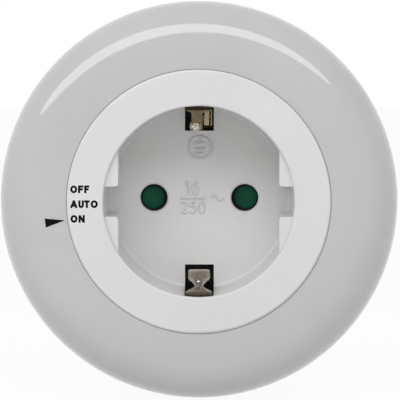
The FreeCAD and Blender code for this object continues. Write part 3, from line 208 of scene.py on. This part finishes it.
finishes = {
    # Opal acrylic, injection moulded and polished: milky depth under a clear hard gloss, a little flow unevenness
    "diffuser_opal": surface("opal_acrylic_polished", "#C3C3C2", "#BFBFBE", 0.07, patch=18, grain=3.0,
                             relief=0.0015, gloss_range=0.02, IOR=1.49,
                             **{"Coat Weight": 0.7, "Coat Roughness": 0.03,
                                "Sheen Weight": 0.22, "Sheen Roughness": 0.35, "Subsurface Weight": 0.2,
                                "Subsurface Radius": (2.2, 2.0, 1.8), "Subsurface Scale": 0.001}),
    # White ABS, moulded in a satin tool: even and slightly warm, soft broad reflections
    "insert_white": surface("abs_satin_white", "#DDDDDC", "#D9D9D7", 0.34, patch=14, grain=0.30, relief=0.003,
                            spots=0.10, spot_colour="#CFCEC8", spot_size=3.0, IOR=1.54),
    # White ABS from a finely eroded tool: duller than the insert, with a visible fine grain
    "housing_white": surface("abs_eroded_white", "#DFDFDC", "#D8D8D4", 0.46, patch=16, grain=0.55, relief=0.012,
                             spots=0.18, spot_colour="#C4C2BA", spot_size=2.5, IOR=1.54),
    # Green polyamide, moulded, rubbed by pins: dark and half matt, paler where it wears
    "shutter_green": surface("polyamide_green", "#06523A", "#054A33", 0.40, patch=3, grain=0.25, relief=0.004,
                             spots=0.06, spot_colour="#2F7C5C", spot_size=1.2, IOR=1.53,
                             **{"Specular IOR Level": 0.12}),
    # Ivory urea moulding: hard, dense, faintly mottled
    "carrier_ivory": surface("urea_moulded_ivory", "#DDD6C2", "#D3CBB5", 0.36, patch=6, grain=0.3,
                             relief=0.004, IOR=1.6),
    # Glass-epoxy board under green lacquer: the weave shows faintly
    "board_green": surface("glass_epoxy_lacquered", "#1E6A3C", "#195C33", 0.30, patch=8, grain=0.5,
                           relief=0.006, IOR=1.55),
    # Clear daylight-filter epoxy: dark, very smooth
    "sensor_resin": surface("epoxy_clear_dark", "#5B4A3C", "#4C3D31", 0.08, patch=2, grain=0.8,
                            relief=0.0008, IOR=1.56),
    # Dipped epoxy coat on a film capacitor: thick, rounded and glossy
    "capacitor_yellow": surface("epoxy_dipped_yellow", "#C9A227", "#B8921F", 0.22, patch=4, grain=1.2,
                                relief=0.01, IOR=1.56),
    # Black shrink sleeve on an aluminium can: thin film with a slight orange peel
    "capacitor_can": surface("sleeve_shrunk_black", "#24262B", "#1C1E22", 0.26, patch=4, grain=0.5,
                             relief=0.006, IOR=1.53),
    # Black moulding compound: matt with sandy grain
    "component_black": surface("moulding_compound_black", "#242424", "#1D1D1D", 0.55, patch=3, grain=0.2,
                               relief=0.006, IOR=1.55),
    # White acetal: waxy and slippery
    "slider_white": surface("acetal_white", "#E6E4DE", "#DEDBD3", 0.30, patch=4, grain=0.3,
                            relief=0.003, IOR=1.48),
    # Fired resistor lacquer: smooth and slightly lumpy
    "resistor_lacquer": surface("lacquer_fired_blue", "#5D8A9E", "#527D90", 0.28, patch=3, grain=0.8,
                                relief=0.008, IOR=1.5),
    # Soft vinyl wire covers: extruded, faintly streaked
    "wire_brown": surface("vinyl_extruded_brown", "#5A3420", "#4E2C1A", 0.40, patch=4, grain=0.3,
                          relief=0.004, IOR=1.53),
    "wire_blue": surface("vinyl_extruded_blue", "#2C5C9A", "#25508A", 0.40, patch=4, grain=0.3,
                         relief=0.004, IOR=1.53),
    # Zinc-plated steel screws: bright with a faint yellow cast and tool scuffs
    "screw_steel": surface("steel_zinc_plated", "#C9C7BE", "#B9B6AA", 0.28, patch=2, grain=0.12, relief=0.002,
                           spots=0.4, spot_colour="#8F8B7E", spot_size=0.8, Metallic=1.0),
    # Stamped brass contact parts: warm, rolled lines along the strip
    "contact_brass": surface("brass_rolled", "#D9B46A", "#C59E55", 0.27, patch=3, grain=0.3, relief=0.002,
                             stretch=(1, 6, 1), spots=0.35, spot_colour="#8E6E38", spot_size=1.5, Metallic=1.0),
    # Nickel-plated brass: pale and faintly warm, sliding scuffs along the pins and dull spots of tarnish
    "nickel": surface("brass_nickel_plated", "#D2CCC1", "#C3BBAE", 0.22, patch=2.5, grain=0.25, relief=0.002,
                      stretch=(3, 0.25, 3), spots=0.25, spot_colour="#8F8272", spot_size=1.1, gloss_range=0.06,
                      Metallic=1.0),
    # The same plating on stamped spring strip: duller, dimpled by the tool, with brown tarnish in the hollows
    "nickel_stamped": surface("brass_nickel_stamped", "#DAD2C4", "#C6BCAC", 0.27, patch=2.5, grain=0.5,
                              relief=0.012, stretch=(2, 1, 2), spots=0.55, spot_colour="#7C6A57", spot_size=0.9,
                              gloss_range=0.10, Metallic=1.0),
    # The same plating painted darker and browner for the upper slit contact's strip: painted shade of its deep-set
    # run
    "nickel_painted_shade": surface("brass_nickel_painted_shade", "#9A8B74", "#85775F", 0.30, patch=2.0, grain=0.25, relief=0.0035,
                           stretch=(3, 0.25, 3), spots=0.5, spot_colour="#C3B8A4", spot_size=0.9, gloss_range=0.10,
                           Metallic=1.0),
    # Painted shade in the contact wells: nearly black, with a brown cast and a felted grain
    "shade_card_dark": surface("painted_shade_card", "#17110D", "#0F0B08", 0.7, patch=2.0, grain=0.3,
                          relief=0.01, **{"Specular IOR Level": 0.2}),
    # Painted shade round the shutter pads: black with a green cast, matt
    "shade_ring_dark": surface("painted_shade_ring", "#070E0B", "#050A08", 0.6, patch=2.0, grain=0.2, relief=0.004,
                           IOR=1.52, **{"Specular IOR Level": 0.2}),
    # White lamp package with phosphor gel: chalky yellow-white
    "led_white": surface("lamp_phosphor_gel", "#E9E2A8", "#E2D994", 0.35, patch=1.5, grain=0.2,
                         relief=0.003, IOR=1.5),
}
# Pad-printed ink: dense black, half matt, a hair uneven where the pad left it
ink = surface("ink_pad_printed", "#020202", "#060606", 0.7, patch=1.5, grain=0.12, relief=0.002, IOR=1.5,
              **{"Specular IOR Level": 0.12})

for row in frame["record"]["subparts"]:
    node_object = nodes[row["node"]]
    node_object.data.materials.clear()
    node_object.data.materials.append(finishes[row["material_slot"]])


# Opal diffuser

# Circles of its section, each (middle radius, middle depth) and size
DOME = ((27.506, -13.944), 45.0)
SHOULDER = ((32.6, 22.3), 8.4)
WALL = 1.7
# Angles on these circles: the dome's inner edge, where dome and shoulder meet, and the inner dome's end
DOME_START, MEETING, INNER_END = 90.4, 82.1, 87.9
SHOULDER_TOP = 82
INNER_EDGE, EDGE_ROUND = 27.12, 0.12
RIM = [(41.0, 22.3), (40.7, 8.6, 0.35), (39.0, 8.6, 0.35), (39.3, 22.3)]
HOOK = [(29.1, 29.3), (29.1, 27.4, 0.3), (25.4, 27.4, 0.3), (25.4, 29.2, 0.3), (27.0, 29.2, 0.15), (27.0, 30.4)]


def dome_depth(radius):
    """Depth of the dome's face at a radius: the upper half of its large circle."""
    (middle, level), size = DOME
    return level + np.sqrt(size * size - (radius - middle) ** 2)


section = np.vstack((
    arc((INNER_EDGE, dome_depth(INNER_EDGE) - EDGE_ROUND), EDGE_ROUND, 180, 90, 6),
    arc(*DOME, DOME_START, MEETING, 28),
    arc(*SHOULDER, SHOULDER_TOP, 0, 64),
    rounded(RIM, closed=False)[1:-1],
    arc(SHOULDER[0], SHOULDER[1] - WALL, 0, SHOULDER_TOP, 40),
    arc(DOME[0], DOME[1] - WALL, MEETING, INNER_END, 12),
    rounded(HOOK, closed=False)[1:-1],
))
piece("diffuser_ring_opal", [turned(section)], "diffuser_ring", finishes["diffuser_opal"],
      ["diffuser"])


# Pointer

ARROW_ANGLE = 187.9
ARROW_TIP, ARROW_BASE, ARROW_HALF = 27.5, 31.6, 0.93
ARROW_ROWS, ARROW_ACROSS = 24, 9
INK_LIFT = 0.02


def arrow_shell():
    """A thin closed wedge on the dome: u runs from tip to base and sets the radius, v runs across and sets the turn,
    and the width grows evenly with u. The upper skin stands INK_LIFT proud, the lower one is sunk in the dome, and
    its two ends are filled by strips between the upper and lower rows."""
    u, v = np.meshgrid(np.linspace(0.02, 1, ARROW_ROWS), np.linspace(-1, 1, ARROW_ACROSS), indexing="ij")
    radius = ARROW_TIP + (ARROW_BASE - ARROW_TIP) * u
    angle = np.radians(ARROW_ANGLE) + v * u * ARROW_HALF / radius
    x, z = radius * np.cos(angle), radius * np.sin(angle)
    top = np.stack((x, -dome_depth(radius) - INK_LIFT, z), axis=-1)
    under = np.stack((x, -dome_depth(radius) + INK_LIFT, z), axis=-1)
    points, faces = lattice(np.concatenate((top, under[:, ::-1]), axis=1), close_v=True)
    columns = 2 * ARROW_ACROSS
    i = np.arange(ARROW_ACROSS - 1)
    strip = np.column_stack((i, i + 1, columns - 2 - i, columns - 1 - i))
    return points, np.vstack((faces, strip, strip + len(points) - columns))


piece("pointer_arrow", [arrow_shell()], "diffuser_ring", ink)


# Strokes: words, figures and the earth sign


def ridge(path, width, height, closed=False, level=FLOOR):
    """A low rounded ridge along a path on a level face: across the path it is an ellipse of that width and height,
    whose lower half is sunk in the face."""
    path = np.asarray(path, float)
    step = np.roll(path, -1, 0) - np.roll(path, 1, 0) if closed else np.gradient(path, axis=0)
    step /= np.linalg.norm(step, axis=1, keepdims=True)
    side = np.column_stack((-step[:, 1], step[:, 0]))
    angle = np.radians(np.linspace(0, 360, 16, endpoint=False))
    out, up = width / 2 * np.cos(angle), height * np.sin(angle)
    x = path[:, :1] + side[:, :1] * out
    z = path[:, 1:] + side[:, 1:] * out
    rings = np.stack((x, -(level + up)[None] + 0 * x, z), axis=-1)
    return lattice(rings, close_u=True, close_v=True) if closed else capped(rings)


def bar(start, end):
    """A straight row of points from start to end."""
    return np.array(start) + np.linspace(0, 1, 10)[:, None] * (np.array(end) - np.array(start))


def bow(middle, radii, start, end, count=28):
    """Part of an ellipse, from a start to an end angle, counted from +x towards +z."""
    angle = np.radians(np.linspace(start, end, count))
    return np.column_stack((middle[0] + radii[0] * np.cos(angle), middle[1] + radii[1] * np.sin(angle)))


def joined(*parts):
    """One row of points from several that each start where the one before ends."""
    return np.vstack([parts[0]] + [part[1:] for part in parts[1:]])


# Each sign's strokes in a cell one wide and one high, as rows of points
SIGNS = {
    "O": [bow((0.5, 0.5), (0.5, 0.5), 90, 450, 48)],
    "F": [bar((0.0, -0.18), (0.0, 1.18)), bar((-0.2, 1.0), (1.0, 1.0)), bar((0.0, 0.5), (0.85, 0.5))],
    "A": [bar((-0.04, -0.18), (0.52, 1.16)), bar((0.48, 1.16), (1.04, -0.18)), bar((0.2, 0.25), (0.8, 0.25))],
    "U": [joined(bar((0.0, 1.18), (0.0, 0.35)), bow((0.5, 0.35), (0.5, 0.35), 180, 360),
                 bar((1.0, 0.35), (1.0, 1.18)))],
    "T": [bar((0.0, 1.0), (1.0, 1.0)), bar((0.5, 1.0), (0.5, -0.18))],
    "N": [bar((0.0, -0.18), (0.0, 1.18)), bar((0.0, 1.1), (1.0, -0.1)), bar((1.0, -0.18), (1.0, 1.18))],
    "1": [joined(bar((0.2, 0.80), (0.6, 1.0)), bar((0.6, 1.0), (0.6, 0.0)))],
    "6": [bow((1.03, 0.36), (0.97, 0.64), 97, 176), bow((0.52, 0.30), (0.45, 0.30), 176, 536, 44)],
    "2": [joined(bow((0.50, 0.73), (0.43, 0.27), 165, -32), bar((0.87, 0.58), (0.07, 0.0)),
                 bar((0.07, 0.0), (0.97, 0.0)))],
    "5": [joined(bar((0.90, 1.0), (0.20, 1.0)), bar((0.20, 1.0), (0.13, 0.55)),
                 bow((0.48, 0.33), (0.45, 0.33), 136, -150))],
    "0": [bow((0.5, 0.5), (0.46, 0.5), 90, 450, 44)],
}


def signs(row, low, high, width, height, level):
    """The ridges of a row of signs, each (sign, left edge, width) with its cell stretched between low and high."""
    made = []
    for sign, left, wide in row:
        for stroke in SIGNS[sign]:
            path = stroke * np.array([wide, high - low]) + np.array([left, low])
            made.append(ridge(path, width, height, level=level))
    return made


# Printed words: piece name, lower and upper edge, and the row of signs
WORDS = (
    ("label_off", 2.0, 3.13, (("O", -25.93, 0.98), ("F", -24.34, 0.88), ("F", -23.08, 0.8))),
    ("label_auto", -1.03, 0.1, (("A", -25.93, 1.02), ("U", -24.29, 0.7), ("T", -23.31, 1.1), ("O", -21.78, 1.02))),
    ("label_on", -4.03, -2.9, (("O", -25.88, 0.98), ("N", -24.26, 0.85))),
)
WORD_STROKE = 0.45
for word, low, high, row in WORDS:
    piece(word, signs(row, low, high, WORD_STROKE, INK_LIFT, FRONT), "housing", ink)

# Raised marks on the recess floor: the earth sign, and a rating written as a fraction with a wave sign
MARK_STROKE, MARK_HEIGHT = 0.52, 0.45
EARTH = np.array((0.1, 10.5))
EARTH_RADIUS = 2.35
EARTH_STEM = (2.1, 0.95)
# Each bar of the sign: its height above the middle, and half its length
EARTH_BARS = ((0.85, 1.3), (-0.25, 1.1), (-1.2, 0.72))
FRACTION_BAR = ((-4.05, 0.0), (1.4, 0.0))
WAVE_START, WAVE_LENGTH, WAVE_MIDDLE, WAVE_SWING = 2.3, 2.65, 0.05, 0.5
UPPER_ROW, UPPER_EDGES = (("1", -3.0, 1.1), ("6", -1.5, 1.3)), (0.85, 3.35)
LOWER_ROW, LOWER_EDGES = (("2", -3.8, 1.3), ("5", -2.05, 1.3), ("0", -0.2, 1.3)), (-3.1, -0.85)

wave = np.linspace(0, 1, 40)
wave_sign = np.column_stack((WAVE_START + WAVE_LENGTH * wave, WAVE_MIDDLE + WAVE_SWING * np.sin(wave * 2 * np.pi)))
floor_marks = [
    ridge(arc(EARTH, EARTH_RADIUS, 0, 354, 60), MARK_STROKE, MARK_HEIGHT, closed=True),
    ridge(bar(*[EARTH + (0, rise) for rise in EARTH_STEM]), MARK_STROKE, MARK_HEIGHT),
    ridge(bar(*FRACTION_BAR), MARK_STROKE, MARK_HEIGHT),
    ridge(wave_sign, MARK_STROKE, MARK_HEIGHT),
]
for rise, half in EARTH_BARS:
    floor_marks.append(ridge(bar(EARTH + (-half, rise), EARTH + (half, rise)), MARK_STROKE, MARK_HEIGHT))
for row, edges in ((UPPER_ROW, UPPER_EDGES), (LOWER_ROW, LOWER_EDGES)):
    floor_marks += signs(row, *edges, MARK_STROKE, MARK_HEIGHT, FLOOR)
piece("mark_earth_and_rating", floor_marks, "housing", finishes["insert_white"])


# Shutter: a domed green pad behind each hole, inside a near-black ring of painted shade

PIN_OFFSET = 9.5
# The pads stand a little outwards of the holes' middles
PAD_OFFSET = PIN_OFFSET + 0.22
PAD_RADIUS, PAD_EDGE_DEPTH, PAD_CROWN = 2.32, 11.30, 0.13
SHUTTER_FACE = 11.12
SHADE_RING = [(2.2, SHUTTER_FACE, 0.05), (3.3, SHUTTER_FACE, 0.05), (3.3, 11.27, 0.05), (2.2, 11.27, 0.05)]
ROUND_STEPS = 72

pad_radius = np.linspace(0, PAD_RADIUS, 26)
pad_depth = PAD_EDGE_DEPTH + PAD_CROWN * np.sqrt(1 - (pad_radius / (PAD_RADIUS + 0.01)) ** 2)
pad_section = np.vstack((np.column_stack((pad_radius, pad_depth)), [(PAD_RADIUS, SHUTTER_FACE), (0.0, SHUTTER_FACE)]))


def at_both_holes(shell, offset):
    """Two of the same shell, moved left and right by the offset."""
    return [(shell[0] + np.array([offset * side, 0, 0]), shell[1]) for side in (-1, 1)]


piece("shutter_pads", at_both_holes(turned(pad_section, ROUND_STEPS, closed=False), PAD_OFFSET), "safety_shutter",
      finishes["shutter_green"])
# The near-black rings are painted shade: the shade that each hole's rim casts round its pad
piece("shutter_shade_rings", at_both_holes(turned(rounded(SHADE_RING, 3), ROUND_STEPS), PIN_OFFSET), "safety_shutter",
      finishes["shade_ring_dark"])


# Earth clips


def strip_shell(path, half_widths, centres, thick):
    """A springy strip carried along a bent path in the (depth, height) plane: at each station a flat oval section,
    |across|^n + |through|^n = 1 with n of 6, so its cut edges are slightly rounded. Half widths and centres are one
    number each, or one for every station."""
    step = np.gradient(path, axis=0)
    step /= np.linalg.norm(step, axis=1, keepdims=True)
    out = np.column_stack((-step[:, 1], step[:, 0]))
    angle = np.radians(np.linspace(0, 360, 32, endpoint=False))
    c, s = np.cos(angle), np.sin(angle)
    size = (np.abs(c) ** 6 + np.abs(s) ** 6) ** (-1 / 6)
    across, through = c * size, s * size
    x = (centres + 0 * path[:, 0])[:, None] + (half_widths + 0 * path[:, 0])[:, None] * across
    depth = path[:, :1] + out[:, :1] * thick / 2 * through
    height = path[:, 1:] + out[:, 1:] * thick / 2 * through
    return capped(np.stack((x, -depth, height), axis=-1))


def spaced(corners, count):
    """Points evenly along a row of rounded corners, with each point's distance from the start."""
    run = rounded(corners, steps=8, closed=False)
    way = np.concatenate(([0], np.cumsum(np.linalg.norm(np.diff(run, axis=0), axis=1))))
    at = np.linspace(0, way[-1], count)
    return np.column_stack((np.interp(at, way, run[:, 0]), np.interp(at, way, run[:, 1]))), at


def step_up(value, start, end):
    """Nought before start, one after end, and between them three parts of the square less two of the cube."""
    t = np.clip((value - start) / (end - start), 0, 1)
    return t * t * (3 - 2 * t)


def bead(x, depth, height, radii, lump=0.0):
    """A small closed bead: an ellipsoid whose radius swells and sinks by lump, as the product of two sines."""
    turn = np.linspace(0, 2 * np.pi, 40, endpoint=False)[None, :]
    tilt = np.linspace(0.02, np.pi - 0.02, 26)[:, None]
    swell = 1 + lump * np.sin(5 * turn + 1) * np.sin(6 * tilt)
    return capped(np.stack((x + radii[0] * swell * np.sin(tilt) * np.cos(turn),
                            -(depth + radii[1] * swell * np.cos(tilt)) + 0 * turn,
                            height + radii[2] * swell * np.sin(tilt) * np.sin(turn)), axis=-1))


def turned_over(shell):
    """The same shell half a turn round the axis: x and z change sign."""
    return shell[0] * np.array([-1, 1, -1]), shell[1]


# Corners of the strip's run from its foot to the mouth: depth, height and rounding
CLIP_RUN = [(9.2, 14.4), (9.2, 15.85, 0.7), (14.6, 17.3, 2.0), (22.6, 14.7, 1.3), (29.1, 18.95)]
CLIP_THICK = 0.8
run, way = spaced(CLIP_RUN, 120)
run_depth = run[:, 0]
foot_round = 1 - 0.35 * (1 - step_up(way, 0.0, 0.9))

# The lower clip, seen from the mouth: legs in the wall slot, a narrow neck, and a wide crown behind it
CROWN_HALF, NECK_LOSS, LEGS_GAIN = 2.2, 1.3, 1.85
lower_half = CROWN_HALF - NECK_LOSS * step_up(run_depth, 24.3, 26.6) + LEGS_GAIN * step_up(run_depth, 27.2, 29.0)
lower = strip_shell(run, lower_half * foot_round, 0, CLIP_THICK)
DIMPLE = dict(x=0.1, depth=26.05, height=16.75, radii=(0.42, 0.42, 0.42))

# The upper clip is slit: a tongue left of the middle ends in a blunt tip, and a shorter finger stands beside it
TONGUE_HALF, TONGUE_SHIFT, TONGUE_GAIN = 1.13, -0.4, 1.5
mouth_spread = step_up(run_depth, 28.0, 29.0)
tongue = strip_shell(run, (TONGUE_HALF + TONGUE_GAIN * mouth_spread) * foot_round, TONGUE_SHIFT * (1 - mouth_spread),
                     CLIP_THICK)
TIP = dict(x=-0.75, depth=24.1, height=15.25, radii=(1.17, 1.1, 1.2), lump=0.07)
FINGER_RUN = [(12.6, 14.9), (13.0, 15.2, 0.3), (13.4, 18.4)]
finger_path = spaced(FINGER_RUN, 30)[0]
finger = strip_shell(finger_path, 0.6, 1.5, 0.4)
lip = strip_shell(finger_path, 0.17, 2.5, 0.7)

# A narrow web joins the finger and its lip to the tongue, behind the slit
web = strip_shell(spaced([(12.7, 16.95), (13.2, 16.95)], 4)[0], 1.1, 1.5, 0.3)

# A dark card of painted shade lines each contact's well, its edges let into the walls, with a slot that leaves its
# strip room to bend
CARD_DEPTH, CARD_HALF = 11.75, 3.06
CARD_FOOT, SLOT_FOOT, SLOT_HEAD, CARD_HEAD = 14.1, 15.95, 17.3, 21.0
CARD_THICK, CARD_LAP = 0.15, 0.1
# The strips beside the slot are a little thinner and narrower, so that no two faces lie in one plane
SIDE_THICK, SIDE_INSET = 0.14, 0.02
TOP_SLOT, BOTTOM_SLOT = (-1.64, 0.84), (-2.31, 2.31)


def card_strip(left, right, foot, head, thick):
    """A flat upright strip of the card between two sides and two heights."""
    path = spaced([(CARD_DEPTH, foot), (CARD_DEPTH, head)], 6)[0]
    return strip_shell(path, (right - left) / 2, (left + right) / 2, thick)


def slotted_card(left, right):
    """The card as four overlapping strips round a slot from left to right."""
    beside_slot = (SLOT_FOOT - CARD_LAP, SLOT_HEAD + CARD_LAP, SIDE_THICK)
    return [
        card_strip(-CARD_HALF, CARD_HALF, CARD_FOOT, SLOT_FOOT, CARD_THICK),
        card_strip(-CARD_HALF, CARD_HALF, SLOT_HEAD, CARD_HEAD, CARD_THICK),
        card_strip(-CARD_HALF + SIDE_INSET, left, *beside_slot),
        card_strip(right, CARD_HALF - SIDE_INSET, *beside_slot),
    ]


# The upper contact's strip takes the darker, browner plating: painted shade
piece("earth_contact_top", [tongue, finger, lip, web], "top_clip", finishes["nickel_painted_shade"],
      ["earth_clip_top"])
piece("earth_contact_top_tip", [bead(**TIP)], "top_clip", finishes["nickel_stamped"])
piece("earth_contact_bottom", [turned_over(lower), turned_over(bead(**DIMPLE))], "bottom_clip",
      finishes["nickel_stamped"], ["earth_clip_bottom"])
# The cards are painted shade: dark sheets where the wells lie in shade
cards = slotted_card(*TOP_SLOT) + [turned_over(strip) for strip in slotted_card(*BOTTOM_SLOT)]
piece("contact_well_shade_cards", cards, "housing", finishes["shade_card_dark"])


# Stage, lights and camera


def seen_directly(tree):
    """One for rays that show the surroundings themselves, also in gloss or through the object, nought for others."""
    rays = add(tree, "LightPath").outputs
    seen = add(tree, "Math", {0: rays["Is Camera Ray"], 1: rays["Is Glossy Ray"]}, operation="MAXIMUM")
    return add(tree, "Math", {0: seen.outputs["Value"], 1: rays["Is Transmission Ray"]},
               operation="MAXIMUM").outputs["Value"]


# The sheet glows almost evenly where it is seen, and is matt paper for the light that it sends back
FLOOR_LEVEL = -41.3
FLOOR_REACH = 3.0
GLOW_SHARE = 0.94

stage_material = bpy.data.materials.new("stage_white")
stage_material.use_nodes = True
tree = stage_material.node_tree
tree.nodes.clear()
seen = seen_directly(tree)
share = add(tree, "Math", {0: seen, 1: GLOW_SHARE}, operation="MULTIPLY")
sheet = add(tree, "Mix", {"Factor": seen, "A": linear("#E8E8E8"), "B": linear("#FAFAFA")}, data_type="RGBA")
matt = add(tree, "BsdfDiffuse", {"Color": sheet.outputs["Result"]})
glow = add(tree, "Emission", {"Color": (1, 1, 1, 1), "Strength": 1.0})
both = add(tree, "MixShader", {0: share.outputs["Value"], 1: matt.outputs["BSDF"], 2: glow.outputs["Emission"]})
add(tree, "OutputMaterial", {"Surface": both.outputs["Shader"]})

corners = ((-1, -1), (1, -1), (1, 1), (-1, 1))
floor_mesh = bpy.data.meshes.new("stage_floor")
floor_mesh.from_pydata([(x * FLOOR_REACH, y * FLOOR_REACH, FLOOR_LEVEL * MM) for x, y in corners], [], [(0, 1, 2, 3)])
floor_mesh.materials.append(stage_material)
floor = bpy.data.objects.new("stage_floor", floor_mesh)
bpy.context.scene.collection.objects.link(floor)

# The room is dimmer as a light than it looks as a background
ROOM_LIGHT, ROOM_SEEN = 0.52, 1.0

world = bpy.data.worlds.new("studio")
world.use_nodes = True
bpy.context.scene.world = world
tree = world.node_tree
tree.nodes.clear()
seen = seen_directly(tree)
room = add(tree, "Background", {"Color": (1, 1, 1, 1), "Strength": ROOM_LIGHT})
paper = add(tree, "Background", {"Color": (1, 1, 1, 1), "Strength": ROOM_SEEN})
both = add(tree, "MixShader", {0: seen, 1: room.outputs["Background"], 2: paper.outputs["Background"]})
add(tree, "OutputWorld", {"Surface": both.outputs["Shader"]})

# A wide oval soft box hangs level, above and in front, so its reflection bends into a crescent on the shoulder
SOFTBOX_HEIGHT = 0.50
SOFTBOX_TURN = math.radians(-5)
softbox = bpy.data.lights.new("softbox", "AREA")
softbox.shape = "ELLIPSE"
softbox.size, softbox.size_y = 3.3 * SOFTBOX_HEIGHT, 1.19 * SOFTBOX_HEIGHT
softbox.energy = 6.8
softbox.color = (0.975, 0.965, 1.0)
lamp = bpy.data.objects.new("softbox", softbox)
lamp.location = (-0.42 * SOFTBOX_HEIGHT, -1.33 * SOFTBOX_HEIGHT, SOFTBOX_HEIGHT)
lamp.rotation_euler = (0, 0, SOFTBOX_TURN)
bpy.context.scene.collection.objects.link(lamp)

# The picture is square, and its focal length is given in pixels
AZIMUTH, ELEVATION = math.radians(0.45), math.radians(2.9)
DISTANCE = 0.6245
FOCAL_PIXELS, PICTURE_PIXELS, SENSOR = 3020, 400, 36.0
aim = Vector((0.19, -21.6, -0.1)) * MM
camera = bpy.data.objects.new("camera", bpy.data.cameras.new("camera"))
away = Vector((math.sin(AZIMUTH) * math.cos(ELEVATION), -math.cos(AZIMUTH) * math.cos(ELEVATION),
               math.sin(ELEVATION)))
camera.location = aim + away * DISTANCE
camera.rotation_euler = (-away).to_track_quat("-Z", "Y").to_euler()
camera.data.sensor_width = SENSOR
camera.data.lens = SENSOR * FOCAL_PIXELS / PICTURE_PIXELS
camera.data.clip_start, camera.data.clip_end = 0.01, 10.0
bpy.context.scene.collection.objects.link(camera)
bpy.context.scene.camera = camera
bpy.context.scene.view_settings.view_transform = "Standard"
